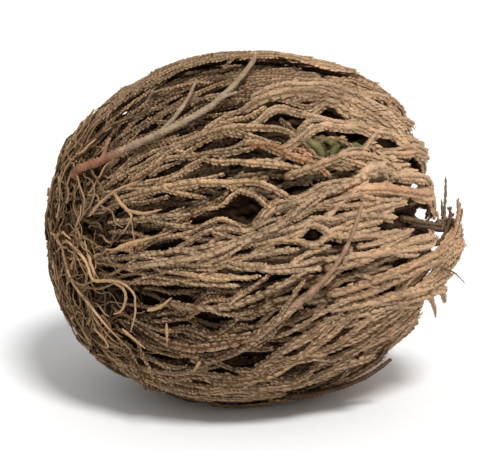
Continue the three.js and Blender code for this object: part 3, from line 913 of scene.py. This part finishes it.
def leaf_object(name):
    """One scale leaf: base at the origin, tip along +X, keel along its outer face."""
    half, thick = LEAF_WIDTH / 2, LEAF_THICKNESS
    places = [(0, 0, 0.3 * thick), (0.45 * LEAF_LENGTH, half, 0), (0.5 * LEAF_LENGTH, 0, 0.85 * thick),
              (0.45 * LEAF_LENGTH, -half, 0), (LEAF_LENGTH, 0, 0.4 * thick)]
    faces = [(0, 2, 1), (0, 3, 2), (4, 1, 2), (4, 2, 3)]
    mesh = bpy.data.meshes.new(name)
    mesh.from_pydata([[c * MM for c in place] for place in places], [], faces)
    for value, shares in (("along_leaf", [x / LEAF_LENGTH for x, _, _ in places]),
                          ("around", [y / LEAF_WIDTH + 0.5 for _, y, _ in places])):
        mesh.attributes.new(value, "FLOAT", "POINT").data.foreach_set("value", shares)
    return bpy.data.objects.new(name, mesh)


# Finishes. Colours are given as they look on a screen.
def screen(*colour):
    linear = (((c / 255 + 0.055) / 1.055) ** 2.4 if c > 10 else c / 255 / 12.92 for c in colour)
    return (*linear, 1.0)


LEAF_DARK = screen(78, 53, 30)
LEAF_LIGHT = screen(184, 151, 115)
LEAF_PALE = screen(212, 176, 145)
GREY_DARK = screen(78, 62, 50)
GREY_LIGHT = screen(160, 140, 122)
LEAF_RUSTY = screen(186, 122, 84)
LEAF_GREEN = screen(54, 50, 24)
LEAF_FRESH = screen(150, 146, 96)
# The dark brown of painted shade, for strands deep in the ball and in hollows, and for roots under others
PAINTED_SHADE_BROWN = screen(34, 18, 8)
ROOT_DARK = screen(62, 44, 28)
ROOT_LIGHT = screen(174, 140, 103)
BARK_GREY = screen(154, 132, 108)
BARK_DARK = screen(66, 48, 34)
BARK_RED = screen(142, 96, 70)

# How light a scale leaf is: its strand's tone, its own luck and how far out along it, each times its share.
# Its darker base is painted shade, where the leaf before overlaps it.
SHADE_SHARES = {"tone": 0.65, "leaf_chance": 0.5, "along_leaf": 0.6}
SHADE_LESS = 0.34
MOST_GREY = 0.35
GREY_SPREAD = 23.0  # so large that strands of nearly the same tone differ in how grey they are
MOST_PALE = 0.5
RUSTY_CHANCE = 0.2
RUSTY_ONSET = 4.0
MOST_RUSTY_LEAF = 0.55
MOST_RUSTY_STRAND = 0.6
# The most that painted shade darkens a scale leaf
MOST_PAINTED_SHADE = 0.88

BLOTCH_SHARE = 0.6  # of the unevenness of a surface, and grain has the rest
BLOTCH_DETAIL = 3.0
GRAIN_DETAIL = 2.0
ROUGHNESS = 0.68
GRAIN_ROUGHNESS = 0.25
SPECULAR = 0.12
BUMP_STRENGTH = 0.6


def shader_value(tree, name):
    return add(tree, "ShaderNodeAttribute", attribute_name=name).outputs["Fac"]


def mixed(tree, share, a, b, blend="MIX"):
    inputs = {"Factor_Float": share, "A_Color": a, "B_Color": b}
    node = add(tree, "ShaderNodeMix", inputs, data_type="RGBA", blend_type=blend)
    return next(s for s in node.outputs if s.identifier == "Result_Color")


def weathering_group():
    """Blotches and fine grain that every dry surface of the plant has."""
    group = bpy.data.node_groups.new("weathering", "ShaderNodeTree")
    values = {"Blotch size": "Float", "Grain size": "Float", "Strength": "Float"}
    add_sockets(group, "INPUT", {"Colour": "Color", **values})
    add_sockets(group, "OUTPUT", {"Colour": "Color", "Roughness": "Float", "Height": "Float"})
    given = group.nodes.new("NodeGroupInput").outputs
    place = add(group, "ShaderNodeTexCoord").outputs["Object"]

    def noise(size, detail):
        inputs = {"Vector": place, "Scale": math_node(group, "DIVIDE", 1.0, size), "Detail": detail}
        return add(group, "ShaderNodeTexNoise", inputs).outputs["Fac"]

    blotch = noise(given["Blotch size"], BLOTCH_DETAIL)
    grain = noise(given["Grain size"], GRAIN_DETAIL)
    both = plus(group, times(group, blotch, BLOTCH_SHARE), times(group, grain, 1 - BLOTCH_SHARE))
    bright = plus(group, times(group, minus(group, both, 0.5), given["Strength"]), 1.0)
    shade = made(group, "ShaderNodeCombineColor", {"Red": bright, "Green": bright, "Blue": bright})
    colour = mixed(group, 1.0, given["Colour"], shade, "MULTIPLY")
    rough = plus(group, times(group, grain, GRAIN_ROUGHNESS), ROUGHNESS)
    add(group, "NodeGroupOutput", {"Colour": colour, "Roughness": rough, "Height": grain})
    return group


def new_material(name):
    material = bpy.data.materials.new(name)
    material.use_nodes = True
    return material, next(n for n in material.node_tree.nodes if n.type == "BSDF_PRINCIPLED")


def dry_material(name, colour_of, blotch, grain, strength, bumps):
    """The sizes of blotches and grain, and the height of the bumps, are in millimetres."""
    material, principled = new_material(name)
    tree = material.node_tree
    inputs = {"Colour": colour_of(tree), "Blotch size": blotch * MM, "Grain size": grain * MM,
              "Strength": strength}
    weathered = add(tree, "ShaderNodeGroup", inputs, node_tree=weathering).outputs
    tree.links.new(weathered["Colour"], principled.inputs["Base Color"])
    tree.links.new(weathered["Roughness"], principled.inputs["Roughness"])
    inputs = {"Height": weathered["Height"], "Strength": BUMP_STRENGTH, "Distance": bumps * MM}
    tree.links.new(made(tree, "ShaderNodeBump", inputs), principled.inputs["Normal"])
    principled.inputs["Specular IOR Level"].default_value = SPECULAR
    return material


def scaly_colour(tree):
    """Scale leaves: each has its own tone, darker at its base as painted shade where the leaf before overlaps
    it, paler towards the mouth, green deep in, and darkened by painted shade deep in the ball.
    """
    value = {name: shader_value(tree, name) for name in (*POINT_VALUES[1:], "leaf_chance", "along_leaf")}
    shade = 0.0
    for name, share in SHADE_SHARES.items():
        shade = plus(tree, shade, times(tree, value[name], share))
    shade = minus(tree, shade, SHADE_LESS, clamp=True)
    colour = mixed(tree, shade, LEAF_DARK, LEAF_LIGHT)
    grey = math_node(tree, "FRACT", times(tree, value["tone"], GREY_SPREAD))
    grey_colour = mixed(tree, shade, GREY_DARK, GREY_LIGHT)
    colour = mixed(tree, times(tree, grey, MOST_GREY), colour, grey_colour)
    pale_colour = mixed(tree, shade, LEAF_LIGHT, LEAF_PALE)
    colour = mixed(tree, times(tree, value["pale"], MOST_PALE), colour, pale_colour)
    lucky = minus(tree, value["leaf_chance"], 1 - RUSTY_CHANCE)
    lucky = math_node(tree, "MULTIPLY", lucky, RUSTY_ONSET, clamp=True)
    rusty = times(tree, times(tree, lucky, value["pale"]), MOST_RUSTY_LEAF)
    rusty = plus(tree, rusty, times(tree, value["rusty"], MOST_RUSTY_STRAND), clamp=True)
    colour = mixed(tree, rusty, colour, LEAF_RUSTY)
    colour = mixed(tree, value["green"], colour, mixed(tree, shade, LEAF_GREEN, LEAF_FRESH))
    # Painted shade: strands deep in, under gaps and in hollows turn dark brown
    return mixed(tree, times(tree, value["deep"], MOST_PAINTED_SHADE), colour, PAINTED_SHADE_BROWN)


def root_colour(tree):
    colour = mixed(tree, shader_value(tree, "tone"), ROOT_DARK, ROOT_LIGHT)
    # Painted shade darkens roots that lie under others
    return mixed(tree, shader_value(tree, "deep"), colour, PAINTED_SHADE_BROWN)


def bark_colour(tree):
    """The tone of a loose branch runs from grey brown, 0, to red brown, 1, and a second value darkens the
    grey brown.
    """
    grey = mixed(tree, shader_value(tree, "deep"), BARK_GREY, BARK_DARK)
    return mixed(tree, shader_value(tree, "tone"), grey, BARK_RED)


weathering = weathering_group()
FROND_FINISH = dry_material("dry_scale_leaves", scaly_colour, blotch=6.0, grain=0.4, strength=2.0, bumps=0.12)
ROOT_FINISH = dry_material("dry_roots", root_colour, blotch=6.0, grain=0.4, strength=2.2, bumps=0.08)
BARK_FINISH = dry_material("twig_bark", bark_colour, blotch=2.0, grain=0.35, strength=2.6, bumps=0.2)


# Pieces
leafy = leafy_strands_tree()
scaly = scaly_strands_tree()
leaf_form = leaf_object("leaf_form")


def place_piece(piece, node):
    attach(piece, "root")
    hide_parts(node)


def make_fronds():
    for number, frond in enumerate(all_fronds()):
        lines = lines_object(frond.name + "_strands", frond.grow())
        pitch = frond.whorl["pitch"] * MM
        if frond.leafy:
            values = {"Leaf": leaf_form, "Leaf pitch": pitch, "Leaf spread": math.radians(LEAF_SPREAD),
                      "Stem radius": STEM_RADIUS * MM, "Scaliness": SCALINESS,
                      "Seed": LEAF_SEED_STEP * number, "Finish": FROND_FINISH}
            piece = grown_mesh(lines, leafy, values)
        else:
            values = {"Step": pitch, "Radius": SCALY_RADIUS * MM, "Sides": SCALY_SIDES,
                      "Scaliness": SCALINESS, "Finish": FROND_FINISH}
            piece = grown_mesh(lines, scaly, values)
        place_piece(piece, frond.name)


# Loose branches, with the routes that their solids have: psi, phi and depth. Their two tones are before and
# after STUB_END, the psi over which crossing_branch turns from reddish to grey.
BRANCH_SEED = 7
BARK_STEP = 0.5
BARK_SIDES = 8
BARK_SCALINESS = 0.2
KNOT_SIZE = 0.12
KNOT_TURN = 0.9  # radians from one point of a route to the next
KNOT_LUCK = (0.5, 1)
TIP_SIZE = 0.5
FORK_SIZE = 0.6
STUB_END = (42, 56)
LOOSE_BRANCHES = {
    "crossing_branch": {
        "radius": 0.95, "tones": (0.9, 0.0), "deep": 0.1,
        "forks": [
            [(30, 152, -1.6), (34, 150, -2.2), (42, 145, -1.9), (52, 143, -1.9), (65, 143, -1.9),
             (77, 146, -1.9), (84, 151, -1.7), (90, 158, -1.4), (95, 168, -1.2), (97, 174, -1.4)],
            [(62, 142, -1.9), (68, 146, -2.0), (74, 153, -1.9), (78, 161, -1.9)],
            [(44, 145, -1.9), (46, 149, -2.2), (48, 152, -2.1)],
            [(80, 148, -1.8), (84, 150, -2.0), (88, 151, -2.0)],
        ],
    },
    "crossing_twig": {
        "radius": 0.72, "tones": (0.4, 0.4), "deep": 0.1,
        "forks": [
            [(72, 61, 0.6), (80, 67, -0.6), (87, 74, -1.2), (94, 81, -1.5), (100, 86, -1.8), (106, 93, -1.9),
             (110, 100, -1.9), (114, 110, -2.2)],
            [(103, 89, -1.8), (105, 91, -2.0), (107, 91, -2.3)],
        ],
    },
    "loose_twig": {
        "radius": 0.75, "tones": (0.1, 0.1), "deep": 0.9,
        "forks": [[(96, 26, 0.4), (100, 27, -0.2), (108, 29, -1.2), (116, 34, -2.1), (123, 41, -2.4)]],
    },
}


def make_loose_branches():
    rng = np.random.default_rng(BRANCH_SEED)
    for name, branch in LOOSE_BRANCHES.items():
        strands = []
        for number, corners in enumerate(branch["forks"]):
            psi, phi, depth = smooth_route(corners)
            gone = np.linspace(0, 1, len(psi))
            turned = gone * len(psi) * KNOT_TURN + rng.uniform(0, 6)
            knots = 1 + KNOT_SIZE * np.sin(turned) * rng.uniform(*KNOT_LUCK, len(psi))
            size = lerp(1.0, TIP_SIZE, gone) * (FORK_SIZE if number else 1.0) * knots
            tone = lerp(*branch["tones"], smoothstep(psi, *STUB_END))
            strands.append(strand(psi, phi, depth, size, tone, deep=branch["deep"]))
        lines = lines_object(name + "_bark", strands)
        values = {"Step": BARK_STEP * MM, "Radius": branch["radius"] * MM, "Sides": BARK_SIDES,
                  "Scaliness": BARK_SCALINESS, "Finish": BARK_FINISH}
        place_piece(grown_mesh(lines, scaly, values), name)


# Roots, by coarseness: how many, radius, depths of the whole, tone, and how far painted shade darkens them
ROOT_SEED = 21
ROOT_SIDES = 4
ROOT_SCALINESS = 0.12
ROOT_STEP = 1.0
ROOT_KINDS = [
    {"count": 330, "radius": 0.55, "low": 2.8, "high": 0.4, "tone": 0.05, "deep": 0.85},
    {"count": 60, "radius": 0.58, "low": 0.8, "high": -1.2, "tone": 0.5, "deep": 0.1},
    {"count": 190, "radius": 0.4, "low": 0.8, "high": -1.8, "tone": 0.55, "deep": 0.0},
    {"count": 340, "radius": 0.26, "low": 0.6, "high": -2.2, "tone": 0.5, "deep": 0.0},
]
# How far painted shade darkens the roots that lie under others
UNDER_ROOTS_PAINTED_SHADE = 0.75  # of those that lie under others
ROOT_END_RADIUS = 24  # in which roots start
ROOT_STEPS = (7, 22)
ROOT_HEADING = 1.0  # how far a root sets out from straight outwards, in radians
ROOT_BEND = 0.08
ROOT_WANDER = 0.36
ROOT_EDGE = (28, 55)  # roots that reach these psi stand out less and less
ROOT_RIPPLE = 0.4
ROOT_RIPPLE_TURNS = (3, 11)
ROOT_SIZES = (0.75, 1.2)
ROOT_TIP_SIZE = 0.4
ROOT_TONE_SPREAD = 0.28
MM_PER_DEGREE = 0.69  # along the skin near the root pole

# Light roots that can be told apart
PLAIN_ROOT_DEPTH = -1.8
PLAIN_ROOT_RADIUS = 0.42
PLAIN_ROOT_ENDS = (0.4, 0.3)
PLAIN_ROOTS = [
    [(20, 114), (24, 108), (30, 98), (32, 89), (38, 90), (44, 90), (48, 86), (48, 82), (48, 78), (46, 68)],
    [(40, 90), (44, 88), (45, 84), (43, 77), (40, 74)],
    [(52, 80), (56, 82), (60, 86)],
    [(58, 76), (58, 71), (58, 68)],
    [(68, 62), (66, 56)],
    [(43, 68), (47, 65), (51, 62)],
    [(16, 104), (21, 82), (30, 72), (38, 64), (46, 58)],
    [(45, 128), (47, 122), (50, 116), (46, 110)],
    [(34, 122), (40, 126), (47, 128), (54, 128)],
    [(48, 119), (54, 116), (60, 116)],
    [(42, 104), (48, 106), (55, 107), (61, 108)],
]


def root_walk(rng):
    """The places, on a flat map of the root end, of a root that wanders over it, mostly outwards."""
    start = ROOT_END_RADIUS * math.sqrt(rng.uniform(0, 1))
    around = rng.uniform(0, 2 * math.pi)
    heading = around + rng.normal(0, ROOT_HEADING)
    steps = int(rng.uniform(*ROOT_STEPS))
    bend = rng.normal(0, ROOT_BEND)
    places = [np.array([start * math.cos(around), start * math.sin(around)])]
    for _ in range(steps):
        heading += bend + rng.normal(0, ROOT_WANDER)
        places.append(places[-1] + ROOT_STEP * np.array([math.cos(heading), math.sin(heading)]))
    return np.array(places).T


def rootlet(rng, kind):
    across, up = root_walk(rng)
    psi = np.hypot(across, up) / MM_PER_DEGREE
    phi = np.degrees(np.unwrap(np.arctan2(up, across)))
    gone = np.linspace(0, 1, len(psi))
    low, high = kind["low"], kind["high"]
    high_here = lerp(high, high / 2, float(smoothstep(psi.max(), *ROOT_EDGE)))
    depth = rng.uniform(high_here, low)
    depth = depth + ROOT_RIPPLE * np.sin(gone * rng.uniform(*ROOT_RIPPLE_TURNS) + rng.uniform(0, 6))
    depth = np.maximum(depth, high)
    size = kind["radius"] * rng.uniform(*ROOT_SIZES) * lerp(1.0, ROOT_TIP_SIZE, gone)
    # Painted shade: the further under the others a root lies, the darker
    under = smoothstep((depth - high_here) / (low - high_here), 0.15, 0.85)
    deep = np.maximum(kind["deep"], UNDER_ROOTS_PAINTED_SHADE * under)
    tone = np.clip(rng.normal(kind["tone"], ROOT_TONE_SPREAD), 0, 1)
    return strand(psi, phi, depth, size, tone, deep=deep)


def plain_root(corners):
    psi, phi, depth = smooth_route([(psi, phi, PLAIN_ROOT_DEPTH) for psi, phi in corners])
    gone = np.linspace(0, 1, len(psi))
    first, last = PLAIN_ROOT_ENDS
    size = PLAIN_ROOT_RADIUS * lerp(first, 1, smoothstep(gone, 0, 0.15)) * lerp(1, last, gone**2)
    return strand(psi, phi, depth, size, 1.0)


def make_roots():
    rng = np.random.default_rng(ROOT_SEED)
    strands = [rootlet(rng, kind) for kind in ROOT_KINDS for _ in range(kind["count"])]
    strands += [plain_root(corners) for corners in PLAIN_ROOTS]
    lines = lines_object("root_mat_rootlets", strands)
    values = {"Step": ROOT_STEP * MM, "Radius": MM, "Sides": ROOT_SIDES, "Scaliness": ROOT_SCALINESS,
              "Finish": ROOT_FINISH}
    place_piece(grown_mesh(lines, scaly, values), "root_mat")
    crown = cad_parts["root_crown"]
    crown.data.materials.clear()
    crown.data.materials.append(ROOT_FINISH)


# The stage
FLOOR_REACH = 3.0
FLOOR_SHADE = 0.9
WORLD_STRENGTH = 0.6
KEY_LIGHT_STRENGTH = 2.75
KEY_LIGHT_ANGLE = 14.0
KEY_LIGHT_PLACE = (0.2, -0.3, 0.5)
KEY_LIGHT_DIRECTION = (-0.25, 0.7, -1.0)
VIEW_ELEVATION = 15.0
CAMERA_DISTANCE = 0.55
FILLED = 0.84  # share of the picture's width
SENSOR_WIDTH = 36.0


def make_floor():
    mesh = bpy.data.meshes.new("floor")
    corners = [(x * FLOOR_REACH, y * FLOOR_REACH, 0) for x, y in ((-1, -1), (1, -1), (1, 1), (-1, 1))]
    mesh.from_pydata(corners, [], [(0, 1, 2, 3)])
    paint, principled = new_material("pale_floor")
    principled.inputs["Base Color"].default_value = (FLOOR_SHADE, FLOOR_SHADE, FLOOR_SHADE, 1)
    principled.inputs["Roughness"].default_value = 0.9
    mesh.materials.append(paint)
    add_object("floor", mesh)


def make_light():
    world = bpy.data.worlds.new("studio")
    world.use_nodes = True
    background = world.node_tree.nodes["Background"].inputs
    background["Color"].default_value = (1, 1, 1, 1)
    background["Strength"].default_value = WORLD_STRENGTH
    bpy.context.scene.world = world

    data = bpy.data.lights.new("key_light", "SUN")
    data.energy = KEY_LIGHT_STRENGTH
    data.angle = math.radians(KEY_LIGHT_ANGLE)
    light = add_object("key_light", data)
    light.location = KEY_LIGHT_PLACE
    light.rotation_euler = Vector(KEY_LIGHT_DIRECTION).to_track_quat("-Z", "Y").to_euler()


def make_camera():
    low, high = (Vector(corner) for corner in cad_box)
    middle = (low + high) / 2
    data = bpy.data.cameras.new("camera")
    data.sensor_width = SENSOR_WIDTH
    data.lens = SENSOR_WIDTH * CAMERA_DISTANCE * FILLED / (high.x - low.x)
    camera = add_object("camera", data)
    up = math.radians(VIEW_ELEVATION)
    camera.location = middle + CAMERA_DISTANCE * Vector((0, -math.cos(up), math.sin(up)))
    camera.rotation_euler = (middle - camera.location).to_track_quat("-Z", "Y").to_euler()
    bpy.context.scene.camera = camera
    bpy.context.scene.view_settings.view_transform = "Standard"


make_fronds()
make_loose_branches()
make_roots()
make_floor()
make_light()
make_camera()
bpy.data.objects.remove(leaf_form)
